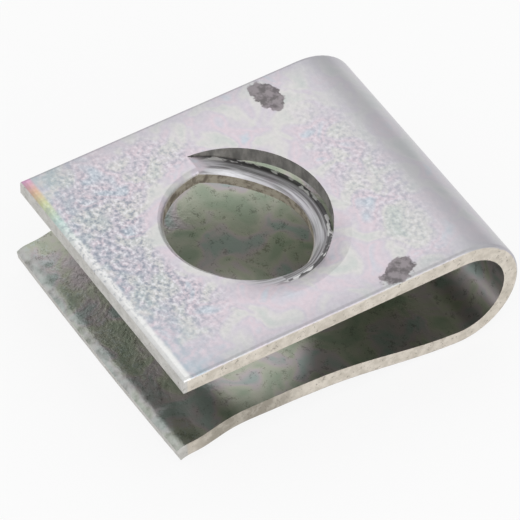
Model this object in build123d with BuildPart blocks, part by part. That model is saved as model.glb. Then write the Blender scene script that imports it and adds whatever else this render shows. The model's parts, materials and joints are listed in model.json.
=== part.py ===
from build123d import *
from build123d.topology import SkipClean
from math import asin, cos, degrees, hypot, pi, radians, sin, tan
import os

# A sheet steel U clip nut, folded from one blank. The origin is where the thread's axis meets the
# outer face of the upper leg. The clip lies on its bend and on its lip, so the upper leg leans
# a little. All sizes are in millimetres, and all angles in degrees.

# The blank
sheet = 0.8
width = 14.2
die_roll = 0.2

# The upper leg and the bend
axis_to_open_edge = 7.2
axis_to_bend = 7.5
bend_inner_radius = 2.2

# The lower leg, dished across its width, and its lead-in lip
lower_leg_run = 11.2
lower_leg_rise_angle = 4.5
crest_radius = 4.0
lip_length = 2.4
lip_fall_angle = 12.0
leg_dish_angle = 10.0
lip_dish_angle = 6.3
dish_peak = 0.5

# The thread impression. Turns are counted from the slit's tip, clockwise as seen from outside.
bore_diameter = 6.8
rim_round = 0.25
slit_radius = 4.45
slit_shift = 0.2
slit_gap = 0.04
slit_end_turn = 150.0
plunge = 0.95
plunge_turn = 60.0
strip_fall = 0.3
ramp_outer_radius = 5.6
ramp_start_turn = 110.0
ramp_end_turn = 232.0
ramp_depth = 1.2

# How far cutting bodies run past what they cut, and how finely the lofts follow their curves
overlap = 0.4
skin = 0.02
station_turn = 10.0
leg_sections = 14

# Where the rim's cutting curve ends, in shares of the rim's round: past it along a face, and off the face
rim_lead = 0.3
rim_margin = 0.1

half_width = width / 2
bore_radius = bore_diameter / 2
bend_outer_radius = bend_inner_radius + sheet
bend_middle_radius = bend_inner_radius + sheet / 2
inner_radius = bore_radius - overlap

# The share of the curve at which it crosses the bore's wall, one round below the rim, and how deep its
# control point then lies
rim_crossing = (1 - 1 / (1 + rim_lead + rim_margin)) / 2
rim_depth = (rim_margin * (1 - rim_crossing) ** 2 - (1 + rim_lead) * rim_crossing**2) / (
    2 * rim_crossing * (1 - rim_crossing)
)

# The lower leg's middle line, drawn with the upper leg level: x runs towards the bend, y up
with BuildLine() as lower_path:
    bend_end = Vector(axis_to_bend, -bend_outer_radius) - Vector(0, bend_middle_radius).rotate(
        Axis.Z, -lower_leg_rise_angle
    )
    run = PolarLine(bend_end, lower_leg_run, 180 - lower_leg_rise_angle)
    crest = JernArc(run @ 1, run % 1, crest_radius, lower_leg_rise_angle + lip_fall_angle)
    lip = PolarLine(crest @ 1, lip_length, 180 + lip_fall_angle)

# The clip lies on the bend's outside and on the lip's outer corner
lip_corner = (lip @ 1) + Vector(0, -sheet / 2).rotate(Axis.Z, lip_fall_angle)
reach = axis_to_bend - lip_corner.X
drop = -bend_outer_radius - lip_corner.Y
span = hypot(reach, drop)
rest_angle = degrees(asin(bend_outer_radius / span) - asin(drop / span))

leg_plane = Plane.XY.rotated((rest_angle, 0, 0))
side_plane = Plane(origin=leg_plane.origin, x_dir=leg_plane.y_dir, z_dir=leg_plane.x_dir)
bend_axis_point = side_plane.from_local_coords((axis_to_bend, -bend_outer_radius, 0))
bend_axis = Axis(bend_axis_point, leg_plane.x_dir)
bend_start = Plane(
    origin=side_plane.from_local_coords((axis_to_bend, -sheet / 2)),
    x_dir=leg_plane.x_dir,
    z_dir=-leg_plane.y_dir,
)


def ease(share):
    """A smooth step from 0 to 1."""
    share = min(max(share, 0), 1)
    return (1 - cos(pi * share)) / 2


def dish_at(share):
    """The slope of the lower leg's sides at this share of its length."""
    if share < dish_peak:
        return leg_dish_angle * ease(share / dish_peak)
    return leg_dish_angle + (lip_dish_angle - leg_dish_angle) * ease((share - dish_peak) / (1 - dish_peak))


def dished_section(share):
    """The sheet cut across the lower leg at this share of its length, with its sides raised."""
    slope = dish_at(share)
    rise = half_width * tan(radians(slope)) / 2
    normal = Vector(0, sheet / 2).rotate(Axis.Z, slope)
    inner_end = Vector(half_width, rise) + normal
    outer_end = Vector(half_width, rise) - normal
    inner_far = Vector(-inner_end.X, inner_end.Y)
    outer_far = Vector(-outer_end.X, outer_end.Y)
    heading = lower_path.wire() % share
    across = Plane(
        origin=side_plane.from_local_coords(lower_path.wire() @ share),
        x_dir=leg_plane.x_dir,
        z_dir=side_plane.x_dir * heading.X + side_plane.y_dir * heading.Y,
    )
    with BuildSketch(across) as section:
        with BuildLine():
            Bezier(inner_far, (0, sheet - inner_end.Y), inner_end)
            Line(inner_end, outer_end)
            Bezier(outer_end, (0, -sheet - outer_end.Y), outer_far)
            Line(outer_far, inner_far)
        make_face()
    return section.sketch


def outward_at(turn):
    """The direction away from the thread's axis at this turn, in the upper leg's plane."""
    return Vector(-1, 0).rotate(Axis.Z, -turn)


def parabola(height, outer_radius):
    """A curve of heights over radii, from inside the bore to the outer radius."""
    middle = (inner_radius + outer_radius) / 2
    first = height(inner_radius)
    last = height(outer_radius)
    control = 2 * height(middle) - (first + last) / 2
    return Bezier((inner_radius, first), (middle, control), (outer_radius, last))


def radial_plane(turn):
    """The plane through the thread's axis at this turn: x runs outward and y up."""
    outward = outward_at(turn)
    outward = leg_plane.x_dir * outward.X + leg_plane.y_dir * outward.Y
    return Plane(origin=leg_plane.origin, x_dir=outward, z_dir=outward.cross(leg_plane.z_dir))


def radial_band(turn, outer_radius, lower, upper):
    """The area between two curves of heights, on the radial plane at this turn."""
    with BuildSketch(radial_plane(turn)) as band:
        with BuildLine():
            below = parabola(lower, outer_radius)
            above = parabola(upper, outer_radius)
            Line(below @ 0, above @ 0)
            Line(below @ 1, above @ 1)
        make_face()
    return band.sketch


def rim_section(turn, height):
    """The area over the bore's rounded rim, on the radial plane at this turn."""
    corner = Vector(bore_radius, height(bore_radius))
    outward = Vector(bore_radius + rim_round, height(bore_radius + rim_round)) - corner
    upward = Vector(0, rim_round)
    below = corner - outward * rim_margin - upward * (1 + rim_lead)
    shoulder = corner + (outward - upward) * rim_depth
    above = corner + outward * (1 + rim_lead) + upward * rim_margin
    inside = bore_radius - 2 * overlap
    with BuildSketch(radial_plane(turn)) as section:
        with BuildLine():
            Bezier(below, shoulder, above)
            Polyline(above, (above.X, sheet), (inside, sheet), (inside, below.Y), below)
        make_face()
    return section.sketch


def stations(first, last):
    """Evenly spaced turns, no more than one station apart."""
    steps = int((last - first) / station_turn) + 1
    return [first + (last - first) * step / steps for step in range(steps + 1)]


def ramp_top(turn):
    """The ramp's upper face: a parabola that dips from its outer radius to the bore's rim."""
    length = slit_end_turn - ramp_start_turn if turn < slit_end_turn else ramp_end_turn - slit_end_turn
    share = 1 - abs(turn - slit_end_turn) / length
    depth = skin + ramp_depth * share * (1 + share) / 2
    dip = ramp_outer_radius - bore_radius
    return lambda radius: skin - depth * ((ramp_outer_radius - radius) / dip) ** 2


def strip_top(turn):
    """The strip's upper face: level across, falling from the slit's tip, then easing into the ramp."""
    fall = plunge * sin(pi / 2 * min(turn / plunge_turn, 1)) + strip_fall * turn / 180
    share = ease((turn - ramp_start_turn) / (slit_end_turn - ramp_start_turn))
    ramp = ramp_top(slit_end_turn)
    return lambda radius: -fall * (1 - share) + ramp(radius) * share


def lowered(height, amount):
    return lambda radius: height(radius) - amount


run_out = 0.1
ramp_turns = stations(
    ramp_start_turn - run_out * (slit_end_turn - ramp_start_turn), slit_end_turn
) + stations(slit_end_turn, ramp_end_turn + run_out * (ramp_end_turn - slit_end_turn))[1:]

with BuildPart() as ramp_metal:
    loft([
        radial_band(turn, ramp_outer_radius, lowered(ramp_top(turn), sheet), lambda radius: -sheet / 2)
        for turn in ramp_turns
    ])

with BuildPart() as ramp_room:
    loft([
        radial_band(turn, ramp_outer_radius, ramp_top(turn), lambda radius: sheet)
        for turn in ramp_turns
    ])

with BuildPart() as strip:
    loft([
        radial_band(turn, slit_radius + overlap, lowered(strip_top(turn), sheet), strip_top(turn))
        for turn in stations(0, slit_end_turn)
    ])
    with BuildSketch(leg_plane.offset(-ramp_depth - 2 * sheet)):
        with Locations((0, -slit_shift)):
            Circle(slit_radius - slit_gap)
    extrude(amount=ramp_depth + 3 * sheet, mode=Mode.INTERSECT)

with BuildPart() as slit_room:
    with BuildSketch(leg_plane.offset(sheet)):
        with BuildLine():
            Polyline((0, 0), *[outward_at(turn) * width for turn in stations(0, slit_end_turn)], close=True)
        make_face()
        with Locations((0, -slit_shift)):
            Circle(slit_radius, mode=Mode.INTERSECT)
    extrude(amount=-ramp_depth - 3 * sheet)

# The piercing rounds the bore's upper rim along the strip, the ramp and the plate
with BuildPart() as strip_rim:
    loft([rim_section(turn, strip_top(turn)) for turn in stations(-station_turn, slit_end_turn)])

with BuildPart() as ramp_rim:
    loft([rim_section(turn, ramp_top(turn)) for turn in ramp_turns if turn >= slit_end_turn])

with BuildPart() as plate_rim:
    revolve(rim_section(0, lambda radius: 0), axis=Axis(leg_plane.origin, leg_plane.z_dir))

with BuildPart() as lower_leg:
    loft([dished_section(section / leg_sections) for section in range(leg_sections + 1)])

with BuildPart() as clip:
    # The upper leg and the bend share one section
    with BuildSketch(bend_start) as leg_section:
        Rectangle(width, sheet)
    extrude(amount=axis_to_bend + axis_to_open_edge)
    revolve(leg_section.sketch, axis=bend_axis, revolution_arc=-(180 + lower_leg_rise_angle))
    add(lower_leg.part)

    # The blanking rolls the sheet's outer edges: those that lie on one outside face only
    top = clip.faces().sort_by(Axis.Z)[-1]
    bend = clip.faces().sort_by(Axis.Y)[-1]
    under = clip.faces().filter_by(GeomType.BSPLINE).sort_by(Axis.Z)[0]
    outside = top.edges() + bend.edges() + under.edges()
    fillet([edge for edge in outside if outside.count(edge) == 1], die_roll)

    # The thread impression
    add(ramp_metal.part)
    add(ramp_room.part, mode=Mode.SUBTRACT)
    add(slit_room.part, mode=Mode.SUBTRACT)
    add(strip.part)
    add(plate_rim.part, mode=Mode.SUBTRACT)
    add(ramp_rim.part, mode=Mode.SUBTRACT)
    add(strip_rim.part, mode=Mode.SUBTRACT)

    # The bore is cut in quarters counted from the slit's end, so that the strip, the ramp and the
    # plate keep walls of their own
    with SkipClean():
        for quarter in range(4):
            with BuildSketch(leg_plane.offset(sheet)):
                Circle(bore_radius)
                start = 90 * quarter + 180 - slit_end_turn
                Rectangle(width, width, rotation=start, align=Align.MIN, mode=Mode.INTERSECT)
            extrude(amount=-ramp_depth - 3 * sheet, mode=Mode.SUBTRACT)

clip.part.label = "clip"
os.makedirs("parts", exist_ok=True)
export_step(clip.part, "parts/clip.step")
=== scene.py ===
"""Finish and studio for a folded sheet steel U clip nut.

The clip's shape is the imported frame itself. This script gives it a zinc plated finish with a thin
clear passivation, and sets the stage: a pale floor, soft lamps and a camera.
"""

import json
import math

import bpy
from bpy.props import FloatProperty, FloatVectorProperty, PointerProperty
from mathutils import Matrix, Vector


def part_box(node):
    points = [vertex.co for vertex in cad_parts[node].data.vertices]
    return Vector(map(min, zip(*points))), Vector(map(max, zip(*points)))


bl_info = {
    "name": "U Clip Nut Finish",
    "version": (1, 0, 0),
    "blender": (4, 5, 0),
    "location": "3D View > Sidebar > U Clip",
    "description": "Plated finish and studio stage for a folded sheet steel U clip nut",
    "category": "Object",
}

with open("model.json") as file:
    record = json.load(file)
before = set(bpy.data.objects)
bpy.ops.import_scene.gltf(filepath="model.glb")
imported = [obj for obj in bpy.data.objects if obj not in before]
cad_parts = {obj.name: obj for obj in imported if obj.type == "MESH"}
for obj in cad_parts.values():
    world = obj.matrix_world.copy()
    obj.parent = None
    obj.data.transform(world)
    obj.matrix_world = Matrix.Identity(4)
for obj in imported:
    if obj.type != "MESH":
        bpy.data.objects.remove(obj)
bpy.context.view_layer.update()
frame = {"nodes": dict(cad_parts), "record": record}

MM = 0.001
CLIP = "clip"
THREAD = next(mount for mount in frame["record"]["mounts"] if mount["name"] == "thread")
LOW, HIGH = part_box(CLIP)

# The clip's own axes, in millimetres: across its width, along the upper leg, and out of it
LEG_UP = Vector(THREAD["axis"]).normalized()
LEG_ACROSS = Vector((1, 0, 0))
LEG_ALONG = LEG_UP.cross(LEG_ACROSS)
BORE_RADIUS = THREAD["dims"]["r_mm"]
HALF_WIDTH = HIGH.x / MM

# The bend's outer radius, and the slit's arc, whose centre lies this far from the thread's axis
BEND_RADIUS = 3.0
BEND_START = HIGH.y / MM - BEND_RADIUS
SLIT_RADIUS = 4.45
SLIT_SHIFT = 0.2

# The faces inside the clip are written darker than they are, and this brings them up, though they stay darker
# than the outer faces as painted shade
INSIDE_GAIN = 1.45

# The two dull stains on the upper leg: across, along, half sizes, and turn in degrees
STAINS = ((-5.75, 5.15, 0.95, 0.62, 8), (6.4, 4.35, 0.95, 0.55, -68))

# The lamps: name, place, size, and power in shares of the lamp setting
LAMPS = (
    ("top_lamp", (-0.14, 0.09, 0.18), 0.10, 0.6),
    ("side_lamp", (0.22, 0.02, 0.06), 0.16, 6),
    ("front_lamp", (0.02, -0.22, 0.05), 0.14, 3),
)
FLOOR_REACH = 0.6
FLOOR_GLOW = 0.85


def tone(red, green, blue, gain=1.0):
    """The scene colour of a display colour from 0 to 255, brighter by the gain but never above white."""
    shares = (value / 255 for value in (red, green, blue))
    linear = (share / 12.92 if share < 0.04045 else ((share + 0.055) / 1.055) ** 2.4 for share in shares)
    return tuple(min(gain * value, 1.0) for value in linear)


# Shader building


class Value:
    """A node's output that can be used in plain arithmetic."""

    def __init__(self, graph, socket):
        self.graph = graph
        self.socket = socket

    def _math(self, operation, *operands):
        return self.graph.node("ShaderNodeMath", {"operation": operation}, dict(enumerate(operands)))

    def __add__(self, other):
        return self._math("ADD", self, other)

    __radd__ = __add__

    def __sub__(self, other):
        return self._math("SUBTRACT", self, other)

    def __rsub__(self, other):
        return self._math("SUBTRACT", other, self)

    def __mul__(self, other):
        return self._math("MULTIPLY", self, other)

    __rmul__ = __mul__

    def __truediv__(self, other):
        return self._math("DIVIDE", self, other)

    def __rtruediv__(self, other):
        return self._math("DIVIDE", other, self)

    def __pow__(self, other):
        return self._math("POWER", self, other)

    def __neg__(self):
        return self._math("MULTIPLY", self, -1)

    def __abs__(self):
        return self._math("ABSOLUTE", self)


class Graph:
    """The node tree of one material or world."""

    def __init__(self, owner):
        owner.use_nodes = True
        self.tree = owner.node_tree
        self.tree.nodes.clear()

    def node(self, kind, settings=None, inputs=None, output=0):
        """Adds a node with these settings and inputs, and returns one of its outputs."""
        node = self.tree.nodes.new(kind)
        for name, value in (settings or {}).items():
            if name == "stops":
                self._set_stops(node.color_ramp, value)
            else:
                setattr(node, name, value)
        for name, value in (inputs or {}).items():
            self.connect(value, node.inputs[name])
        return Value(self, node.outputs[output]) if len(node.outputs) else node

    def connect(self, value, socket):
        if isinstance(value, Value):
            self.tree.links.new(value.socket, socket)
        elif socket.type == "RGBA" and len(value) == 3:
            socket.default_value = (*value, 1)
        else:
            socket.default_value = value

    @staticmethod
    def _set_stops(ramp, stops):
        while len(ramp.elements) > 1:
            ramp.elements.remove(ramp.elements[-1])
        for index, (place, colour) in enumerate(stops):
            element = ramp.elements[0] if index == 0 else ramp.elements.new(place)
            element.position = place
            element.color = (*colour, 1)

    def step(self, value, low, high):
        """A smooth step: 0 where the value is at low or beyond, 1 at high or beyond."""
        return self.node(
            "ShaderNodeMapRange",
            {"interpolation_type": "SMOOTHSTEP"},
            {"Value": value, "From Min": low, "From Max": high},
        )

    def mix(self, factor, first, second):
        """A colour that goes from first to second."""
        return self.node("ShaderNodeMix", {"data_type": "RGBA"}, {0: factor, 6: first, 7: second}, output=2)

    def tint(self, factor, first, second):
        """A colour multiplied by a second one."""
        settings = {"data_type": "RGBA", "blend_type": "MULTIPLY"}
        return self.node("ShaderNodeMix", settings, {0: factor, 6: first, 7: second}, output=2)

    def larger(self, first, second):
        return self.node("ShaderNodeMath", {"operation": "MAXIMUM"}, {0: first, 1: second})

    def root(self, value):
        return self.node("ShaderNodeMath", {"operation": "SQRT"}, {0: value})

    def dot(self, first, second):
        settings = {"operation": "DOT_PRODUCT"}
        return self.node("ShaderNodeVectorMath", settings, {0: first, 1: second}, output="Value")

    def vector(self, x, y, z):
        return self.node("ShaderNodeCombineXYZ", None, {0: x, 1: y, 2: z})

    def noise(self, place, scale, detail=2.0, roughness=0.5, distortion=0.0):
        inputs = {
            "Vector": place,
            "Scale": scale,
            "Detail": detail,
            "Roughness": roughness,
            "Distortion": distortion,
        }
        return self.node("ShaderNodeTexNoise", None, inputs)

    def ramp(self, value, *stops):
        """A colour picked by the value from a row of places and colours."""
        return self.node("ShaderNodeValToRGB", {"stops": stops}, {0: value})


class ClipSurface:
    """Where a point of the clip lies, as shader values in the clip's own axes, in millimetres."""

    def __init__(self, graph):
        self.graph = graph
        position = graph.node("ShaderNodeTexCoord", output="Object")
        normal = graph.node("ShaderNodeNewGeometry", output="Normal")
        self.across = graph.dot(position, LEG_ACROSS / MM)
        self.along = graph.dot(position, LEG_ALONG / MM)
        self.up = graph.dot(position, LEG_UP / MM)
        self.place = graph.vector(self.across, self.along, self.up)
        wander = graph.noise(self.place, 0.9, 3.0, 0.6) - 0.5
        stray = graph.noise(self.place, 1.3, 3.0, 0.6) - 0.5
        self.drift = graph.vector(self.across + wander * 0.9, self.along + stray * 0.9, 1)
        self.normal_along = graph.dot(normal, LEG_ALONG)
        self.normal_up = graph.dot(normal, LEG_UP)
        self.radius = graph.root(self.across * self.across + self.along * self.along)
        self.in_bend = graph.step(self.along, BEND_START - 0.4, BEND_START + 1.2)
        self._sides()
        self._impression()

    def _sides(self):
        """Tells the sheet's outer face, inner face and cut edges apart."""
        graph = self.graph
        out_along = graph.larger(self.along - BEND_START, 0)
        out_up = self.up + BEND_RADIUS
        length = graph.larger(graph.root(out_along * out_along + out_up * out_up), 0.01)
        facing = (self.normal_along * out_along + self.normal_up * out_up) / length
        self.cut = 1 - graph.step(abs(facing), 0.35, 0.62)
        self.inner = graph.step(facing, 0.1, -0.1) * (1 - self.cut)
        self.upper = graph.step(self.up, -2.6, -2.2)

    def _impression(self):
        """Finds the bore's wall, the slit's wall and the strip between them."""
        graph = self.graph
        self.turn = graph.node("ShaderNodeMath", {"operation": "ARCTAN2"}, {0: self.along, 1: -self.across})
        off_centre = self.along + SLIT_SHIFT
        self.slit_distance = graph.root(self.across * self.across + off_centre * off_centre)
        upper_cut = self.cut * self.upper
        self.bore_wall = self.band(self.radius, BORE_RADIUS - 0.1, BORE_RADIUS + 0.1, 0.03) * upper_cut
        by_slit = self.band(self.slit_distance, SLIT_RADIUS - 0.03, SLIT_RADIUS + 0.1, 0.01)
        self.slit_wall = by_slit * upper_cut
        pressed = graph.step(self.up, -0.12, -0.3) * graph.step(self.along, -1.9, -1.2)
        inside_slit = graph.step(self.slit_distance, SLIT_RADIUS + 0.02, SLIT_RADIUS - 0.02)
        self.strip = pressed * inside_slit * self.upper * (1 - self.inner) * (1 - self.cut)

    def blob(self, across, along, half_across, half_along, turn=0.0, soft=0.5):
        """1 inside an ellipse on the leg, easing to 0 around it."""
        graph, lean = self.graph, math.radians(turn)
        cosine, sine = math.cos(lean), math.sin(lean)
        over = (cosine / half_across, sine / half_across, -(cosine * across + sine * along) / half_across)
        down = (-sine / half_along, cosine / half_along, (sine * across - cosine * along) / half_along)
        over, down = graph.dot(self.drift, over), graph.dot(self.drift, down)
        return graph.step(graph.root(over * over + down * down), 1 + soft, 1 - soft)

    def band(self, value, low, high, soft):
        """1 between two limits of a value, easing to 0 on both sides."""
        graph = self.graph
        return graph.step(value, low - soft, low + soft) * graph.step(value, high + soft, high - soft)


# Settings


class ClipFinishSettings(bpy.types.PropertyGroup):
    """The plated finish."""

    silver: FloatVectorProperty(
        name="Silver",
        description="Colour of the plated faces where they are clean",
        default=tone(210, 208, 210),
        subtype="COLOR",
        min=0,
        max=1,
    )
    cut_edge: FloatVectorProperty(
        name="Cut edge",
        description="Colour of the sheared edges",
        default=tone(216, 208, 196),
        subtype="COLOR",
        min=0,
        max=1,
    )
    blotch: FloatVectorProperty(
        name="Blotch",
        description="Colour of the two dull stains on the upper leg",
        default=tone(104, 98, 100),
        subtype="COLOR",
        min=0,
        max=1,
    )
    roughness: FloatProperty(
        name="Roughness",
        description="Roughness of the clean plated faces",
        default=0.3,
        min=0,
        max=1,
        subtype="FACTOR",
    )
    grain: FloatProperty(
        name="Grain",
        description="Height of the orange peel grain",
        default=0.03 * MM,
        unit="LENGTH",
        precision=6,
    )
    iridescence: FloatProperty(
        name="Iridescence",
        description="Strength of the passivation's tints",
        default=1.0,
        min=0,
        max=1,
        subtype="FACTOR",
    )


class StudioSettings(bpy.types.PropertyGroup):
    """The camera and the lamps."""

    azimuth: FloatProperty(
        name="Azimuth",
        description="Turn of the camera about the clip, from its open edge towards its side",
        default=math.radians(57.84),
        subtype="ANGLE",
    )
    elevation: FloatProperty(
        name="Elevation",
        description="Height of the camera over the upper leg's plane",
        default=math.radians(47.31),
        subtype="ANGLE",
    )
    roll: FloatProperty(
        name="Roll",
        description="Tilt of the camera about its view",
        default=math.radians(0.53),
        subtype="ANGLE",
    )
    distance: FloatProperty(
        name="Distance",
        description="From the camera to the point it aims at",
        default=0.2598,
        subtype="DISTANCE",
    )
    lens: FloatProperty(
        name="Lens", description="Focal length", default=405.1, min=1, subtype="DISTANCE_CAMERA"
    )
    aim: FloatVectorProperty(
        name="Aim",
        description="The point the camera aims at, in the upper leg's axes from the thread's axis",
        default=(0.0031, -0.0008, 0.00053),
        subtype="TRANSLATION",
    )
    lamp_power: FloatProperty(
        name="Lamps", description="Power that each soft lamp takes its share of", default=0.02, unit="POWER"
    )
    surround: FloatProperty(
        name="Surround", description="Brightness of the light room around the clip", default=1.0, min=0
    )


# The finish


class ClipFinish:
    """The clip's colour, laid on in layers, each over the ones before it."""

    def __init__(self, graph, settings):
        self.graph, self.settings = graph, settings
        self.spot = spot = ClipSurface(graph)
        self.slow = graph.noise(spot.place, 0.6, 2.0, 0.5, 0.6)
        self.mottle = graph.noise(spot.place, 2.2, 4.0, 0.6)
        self.grain = graph.noise(spot.place, 4.6, 2.0, 0.55)
        self.fine = graph.noise(spot.place, 14.0, 2.0, 0.6)
        self.peel = self._peel()
        self.face = (1 - spot.inner) * (1 - spot.cut)
        self.outer_top = spot.upper * self.face
        self.lower_inside = spot.inner * (1 - spot.upper)
        self.colour = self._passivated()
        self._edge_shade_and_pooling()
        self._front_roll_tints_and_highlight()
        self._grain_shade_and_glints()
        self._inside_tints_and_shade()
        self._lip_reflections()
        self.stains = self._stained()
        self._sheared_edges()
        self._strip()

    def lay(self, cover, colour):
        """Lays a colour over what is there, where the cover is 1."""
        self.colour = self.graph.mix(cover, self.colour, colour)

    def _peel(self):
        """1 where the sheet kept its orange peel, and little where pressing smoothed it."""
        graph, spot = self.graph, self.spot
        ring = spot.band(spot.radius, 2.0, BORE_RADIUS + 0.8, 0.5)
        peel = graph.larger(spot.blob(-1.0, -4.8, 5.6, 2.7), spot.blob(1.0, 6.2, 5.6, 1.6) * 0.5)
        peel = graph.larger(peel, spot.blob(-4.6, -2.0, 1.8, 2.4) * 0.7)
        return graph.larger(peel * (1 - ring), 0.12) * (1 - spot.in_bend * 0.8)

    def _passivated(self):
        """Silver with the passivation's faint tints."""
        tints = self.graph.ramp(
            self.slow,
            (0.30, tone(232, 240, 234)),
            (0.44, tone(250, 250, 246)),
            (0.52, tone(241, 237, 244)),
            (0.60, tone(252, 240, 246)),
            (0.70, tone(232, 242, 250)),
        )
        amount = self.settings.iridescence * (self.spot.upper * 0.6 + 0.4)
        return self.graph.tint(amount, self.settings.silver, tints)

    def _edge_shade_and_pooling(self):
        """Greyer along the side edges and over the bend, a painted darker reflection, and bluer where the
        passivation pooled.
        """
        graph, spot = self.graph, self.spot
        # Painted shade: a greyer band along both side edges of the upper leg, standing in for a darker
        # reflection.
        margin_shade = graph.step(abs(spot.across), HALF_WIDTH - 1.4, HALF_WIDTH)
        self.lay(margin_shade * self.outer_top * 0.5, tone(170, 170, 175))
        # Painted shade: greyer over the bend, standing in for the darker reflection of its curve.
        bend_shade = graph.step(spot.along, BEND_START - 1.5, BEND_START + 0.5)
        self.lay(bend_shade * self.face * 0.6, tone(180, 180, 185))
        pooled = graph.step(spot.along, -3.5, -6.5) * graph.step(self.mottle, 0.35, 0.65)
        self.lay(pooled * self.outer_top * 0.5, tone(150, 170, 180))

    def _front_roll_tints_and_highlight(self):
        """The rolled front edge: the passivation's colours running out of one corner, and across the rest a
        paler band, a painted highlight.
        """
        spot = self.spot
        roll_tints_and_highlight = spot.band(spot.along, -7.4, -6.78, 0.1) * self.outer_top
        colours = self.graph.ramp(
            (spot.across + HALF_WIDTH) / (2 * HALF_WIDTH),
            (0.0, tone(206, 150, 196)),
            (0.07, tone(214, 178, 150)),
            (0.13, tone(200, 206, 160)),
            (0.22, tone(190, 212, 206)),
            (0.34, tone(228, 228, 226)),
        )
        # Partly the passivation's own colours, partly painted highlight: past the corner the roll is laid
        # paler than the silver.
        self.lay(roll_tints_and_highlight * 0.9, colours)

    def _grain_shade_and_glints(self):
        """Painted shade in the orange peel's hollows and painted glints on its crests."""
        # Painted shade and highlight: the peel's bumps are lit in the colour, darker in the hollows and near
        # white on the crests.
        pocket_shade = self.graph.step(self.grain, 0.52, 0.34) * self.peel
        tip_glint = self.graph.step(self.grain, 0.52, 0.66) * self.peel
        self.lay(pocket_shade * self.face * 0.7, tone(136, 144, 158))
        self.lay(tip_glint * self.face * 0.5, tone(242, 242, 246))

    def _inside_tints_and_shade(self):
        """More coloured zinc inside the clip, laid darker than the outer faces as painted shade, with small
        dark dots on the lower leg.
        """
        colours = self.graph.ramp(
            self.slow,
            (0.32, tone(130, 140, 125, INSIDE_GAIN)),
            (0.46, tone(150, 152, 140, INSIDE_GAIN)),
            (0.54, tone(155, 148, 150, INSIDE_GAIN)),
            (0.64, tone(135, 145, 142, INSIDE_GAIN)),
        )
        # Partly the zinc's own tints, partly painted shade: the inside tones stay darker than the silver
        # outside.
        self.lay(self.spot.inner, colours)
        dots = self.graph.step(self.mottle * 0.6 + self.fine * 0.4, 0.46, 0.38)
        self.lay(dots * self.lower_inside * 0.4, tone(70, 70, 60))

    def _lip_reflections(self):
        """Painted reflections on the lip: bright specks near the open edge, and paler zinc where it rolls
        over to it.
        """
        graph, spot = self.graph, self.spot
        # Painted highlight: bright specks on the lip's inner face near the open edge.
        glint_flecks = graph.step(self.grain * 0.6 + self.fine * 0.4, 0.50, 0.60)
        glint_flecks = glint_flecks * spot.band(spot.along, -7.4, -6.15, 0.25)
        self.lay(glint_flecks * self.lower_inside * 0.42, tone(184, 192, 194))
        # Painted reflection: the lip is laid paler where it rolls over to the open edge, standing in for the
        # bright room it reflects.
        roll = spot.band(spot.along, -8.2, -7.1, 0.22) * self.lower_inside
        pale = graph.mix(graph.step(self.mottle, 0.30, 0.66), tone(132, 136, 130), tone(196, 200, 196))
        self.lay(roll * 0.6, pale)

    def _stained(self):
        """The two dull stains; returns 1 where they are."""
        graph, spot = self.graph, self.spot
        ragged = (self.mottle - 0.5) * 0.8
        first, second = (graph.step(spot.blob(*stain, 0.9) + ragged, 0.40, 0.52) for stain in STAINS)
        stains = graph.larger(first, second) * self.outer_top
        mottled = graph.mix(graph.step(self.mottle, 0.4, 0.6), self.settings.blotch, tone(150, 142, 146))
        self.lay(stains * 0.9, mottled)
        return stains

    def _sheared_edges(self):
        """Matt, beige, pitted edges, greyer at the open end, and laid darker as painted shade on the bore's
        wall, the slit's wall and the lower leg's cut edges under the upper leg.
        """
        graph, spot, mottle = self.graph, self.spot, self.mottle
        blanked = graph.mix(graph.step(mottle, 0.66, 0.34) * 0.6, self.settings.cut_edge, tone(176, 168, 154))
        at_open_end = graph.step(spot.along, -6.95, -7.05)
        greyer = graph.mix(mottle, tone(150, 150, 146), tone(216, 216, 214))
        cut = graph.mix(at_open_end * 0.8, blanked, greyer)
        # Painted shade: the lower leg's cut edges are laid darker along the stretch under the upper leg.
        under_leg_shade_stretch = spot.band(spot.along, -6.4, -1.6, 1.2) * (1 - spot.upper)
        under_leg_shade = graph.mix(graph.step(mottle, 0.62, 0.42), tone(166, 160, 148), tone(136, 130, 118))
        cut = graph.mix(under_leg_shade_stretch * 0.85, cut, under_leg_shade)
        # Painted shade: the bore's wall is laid dark brown, as it sits in shade inside the bore.
        bore_wall_shade = graph.mix(graph.step(mottle, 0.40, 0.62), tone(112, 102, 90), tone(170, 162, 146))
        cut = graph.mix(spot.bore_wall * 0.9, cut, bore_wall_shade)
        marks = graph.noise(graph.vector(spot.turn * 9, spot.up * 0.7, 0), 1.0, 3.0, 0.6)
        # Partly real, partly painted shade: the streaks are the slit's tool marks, and the wall is laid dark
        # grey as it sits in shade in the narrow slit.
        slit = graph.mix(graph.step(marks, 0.34, 0.66), tone(92, 92, 90), tone(136, 134, 130))
        cut = graph.mix(spot.slit_wall * 0.95, cut, slit)
        pits = graph.step(self.grain * 0.5 + self.fine * 0.5, 0.41, 0.36)
        self.lay(spot.cut, graph.mix(pits * 0.6, cut, tone(104, 96, 86)))

    def _strip(self):
        """The freed strip, drawn along its length, with a painted shadow line along its outer edge and
        painted broken glints on that burred edge.
        """
        graph, spot = self.graph, self.spot
        streaks = graph.noise(graph.vector(spot.slit_distance * 7, spot.turn * 0.8, spot.up), 1.0, 3.0, 0.6)
        drawn = graph.mix(graph.step(streaks, 0.36, 0.62), tone(120, 118, 120), tone(212, 212, 216))
        self.lay(spot.strip * 0.85, drawn)
        glint_breaks = graph.noise(graph.vector(spot.slit_distance * 3, spot.turn * 5, 0), 1.0, 2.0, 0.6)
        burr_shade_and_glint = spot.strip * graph.step(spot.slit_distance, SLIT_RADIUS - 0.36, SLIT_RADIUS - 0.2)
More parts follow.
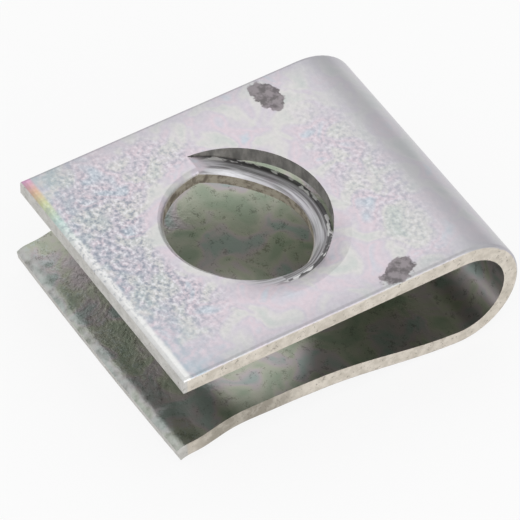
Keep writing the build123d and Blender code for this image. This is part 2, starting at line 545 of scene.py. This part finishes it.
        # Painted shadow: a dark line along the strip's outer edge, where the gap to the slit's wall falls in
        # shade.
        self.lay(burr_shade_and_glint * 0.7, tone(74, 74, 74))
        # Painted highlight: broken white glints on the strip's burred outer edge.
        self.lay(burr_shade_and_glint * graph.step(glint_breaks, 0.50, 0.56), tone(250, 250, 250))


def clip_material(settings):
    """Zinc plate with a thin clear passivation, duller on the sheared edges."""
    material = bpy.data.materials.new("zinc_plate")
    graph = Graph(material)
    finish = ClipFinish(graph, settings)
    peel, cut, stains = finish.peel, finish.spot.cut, finish.stains
    roughness = settings.roughness + peel * 0.08 + finish.spot.strip * 0.15 + stains * 0.25 + cut * 0.25
    metallic = 1 - cut * 0.8 - stains * 0.35
    height = finish.grain * (peel + cut * 0.4) + finish.fine * 0.12 + finish.mottle * 0.2
    bump = graph.node("ShaderNodeBump", None, {"Strength": 1.0, "Distance": settings.grain, "Height": height})
    shader = graph.node(
        "ShaderNodeBsdfPrincipled",
        None,
        {"Base Color": finish.colour, "Roughness": roughness, "Metallic": metallic, "Normal": bump},
    )
    graph.node("ShaderNodeOutputMaterial", None, {"Surface": shader})
    return material


class CLIPNUT_OT_plate(bpy.types.Operator):
    """Gives the clip its plated finish"""

    bl_idname = "clipnut.plate"
    bl_label = "Plate the Clip"

    def execute(self, context):
        clip = frame["nodes"][CLIP]
        material = clip_material(context.scene.clip_finish)
        for slot in clip.material_slots:
            slot.material = material
        return {"FINISHED"}


# The stage


def leg_vector(across, along, up):
    """A vector given in the upper leg's axes."""
    return LEG_ACROSS * across + LEG_ALONG * along + LEG_UP * up


def pale_floor():
    """A white floor that shows as white to the lens and in the metal, and keeps the clip's shadow."""
    mesh = bpy.data.meshes.new("floor")
    signs = ((-1, -1), (1, -1), (1, 1), (-1, 1))
    corners = [(x * FLOOR_REACH, y * FLOOR_REACH, LOW.z) for x, y in signs]
    mesh.from_pydata(corners, [], [(0, 1, 2, 3)])
    floor = bpy.data.objects.new("floor", mesh)
    bpy.context.scene.collection.objects.link(floor)
    material = bpy.data.materials.new("floor_white")
    graph = Graph(material)
    seen = graph.larger(
        graph.node("ShaderNodeLightPath", output="Is Camera Ray"),
        graph.larger(
            graph.node("ShaderNodeLightPath", output="Is Glossy Ray"),
            graph.node("ShaderNodeLightPath", output="Is Transmission Ray"),
        ),
    )
    matt = graph.node("ShaderNodeBsdfDiffuse", None, {"Color": (0.8, 0.8, 0.8)})
    white = graph.node("ShaderNodeEmission", None, {"Color": (1, 1, 1), "Strength": 1.0})
    shader = graph.node("ShaderNodeMixShader", None, {0: seen * FLOOR_GLOW, 1: matt, 2: white})
    graph.node("ShaderNodeOutputMaterial", None, {"Surface": shader})
    mesh.materials.append(material)


def light_room(strength):
    """A white surround, brighter overhead, that shows as plain white to the lens."""
    world = bpy.data.worlds.new("light_room")
    bpy.context.scene.world = world
    graph = Graph(world)
    direction = graph.node("ShaderNodeTexCoord", output="Generated")
    up = graph.dot(direction, (0, 0, 1))
    glow = graph.mix(graph.step(up, -0.05, 0.6), (0.70, 0.70, 0.705), (0.92, 0.92, 0.92))
    seen = graph.node("ShaderNodeLightPath", output="Is Camera Ray")
    room = graph.node("ShaderNodeBackground", None, {"Color": glow, "Strength": strength})
    white = graph.node("ShaderNodeBackground", None, {"Color": (1, 1, 1), "Strength": 1.0})
    shader = graph.node("ShaderNodeMixShader", None, {0: seen, 1: room, 2: white})
    graph.node("ShaderNodeOutputWorld", None, {"Surface": shader})


def soft_lamp(name, place, aim, size, power):
    """A square soft lamp that looks at a point."""
    lamp = bpy.data.lights.new(name, "AREA")
    lamp.size = size
    lamp.energy = power
    holder = bpy.data.objects.new(name, lamp)
    bpy.context.scene.collection.objects.link(holder)
    holder.location = place
    holder.rotation_euler = (aim - place).to_track_quat("-Z", "Y").to_euler()


def place_camera(settings):
    """The camera looks down on the open corner, along a long lens."""
    scene = bpy.context.scene
    cos_up, sin_up = math.cos(settings.elevation), math.sin(settings.elevation)
    back = leg_vector(math.sin(settings.azimuth) * cos_up, -math.cos(settings.azimuth) * cos_up, sin_up)
    right = LEG_UP.cross(back).normalized()
    level = back.cross(right)
    cos_roll, sin_roll = math.cos(settings.roll), math.sin(settings.roll)
    camera_right = right * cos_roll + level * sin_roll
    camera_up = level * cos_roll - right * sin_roll
    lens = bpy.data.cameras.new("camera")
    lens.lens = settings.lens
    lens.clip_start = 0.01
    camera = bpy.data.objects.new("camera", lens)
    scene.collection.objects.link(camera)
    turn = Matrix((camera_right, camera_up, back)).transposed().to_4x4()
    camera.matrix_world = Matrix.Translation(leg_vector(*settings.aim) + back * settings.distance) @ turn
    scene.camera = camera


class CLIPNUT_OT_stage(bpy.types.Operator):
    """Sets the floor, the light room, the lamps and the camera"""

    bl_idname = "clipnut.stage"
    bl_label = "Set the Stage"

    def execute(self, context):
        settings = context.scene.clip_studio
        context.scene.view_settings.view_transform = "Standard"
        pale_floor()
        light_room(settings.surround)
        middle = (LOW + HIGH) / 2
        for name, place, size, share in LAMPS:
            soft_lamp(name, Vector(place), middle, size, settings.lamp_power * share)
        place_camera(settings)
        return {"FINISHED"}


class CLIPNUT_PT_panel(bpy.types.Panel):
    """Lists the clip's finish and its stage"""

    bl_idname = "CLIPNUT_PT_panel"
    bl_label = "U Clip Nut"
    bl_space_type = "VIEW_3D"
    bl_region_type = "UI"
    bl_category = "U Clip"

    def draw(self, context):
        layout = self.layout
        for operator in OPERATORS:
            layout.operator(operator.bl_idname)
        for settings in (context.scene.clip_finish, context.scene.clip_studio):
            column = layout.column()
            for name in settings.__annotations__:
                column.prop(settings, name)


OPERATORS = (CLIPNUT_OT_plate, CLIPNUT_OT_stage)
CLASSES = (ClipFinishSettings, StudioSettings, *OPERATORS, CLIPNUT_PT_panel)


def register():
    for cls in CLASSES:
        bpy.utils.register_class(cls)
    bpy.types.Scene.clip_finish = PointerProperty(type=ClipFinishSettings)
    bpy.types.Scene.clip_studio = PointerProperty(type=StudioSettings)


def unregister():
    del bpy.types.Scene.clip_studio
    del bpy.types.Scene.clip_finish
    for cls in reversed(CLASSES):
        bpy.utils.unregister_class(cls)


def main():
    register()
    bpy.ops.clipnut.plate()
    bpy.ops.clipnut.stage()


if __name__ == "__main__":
    main()
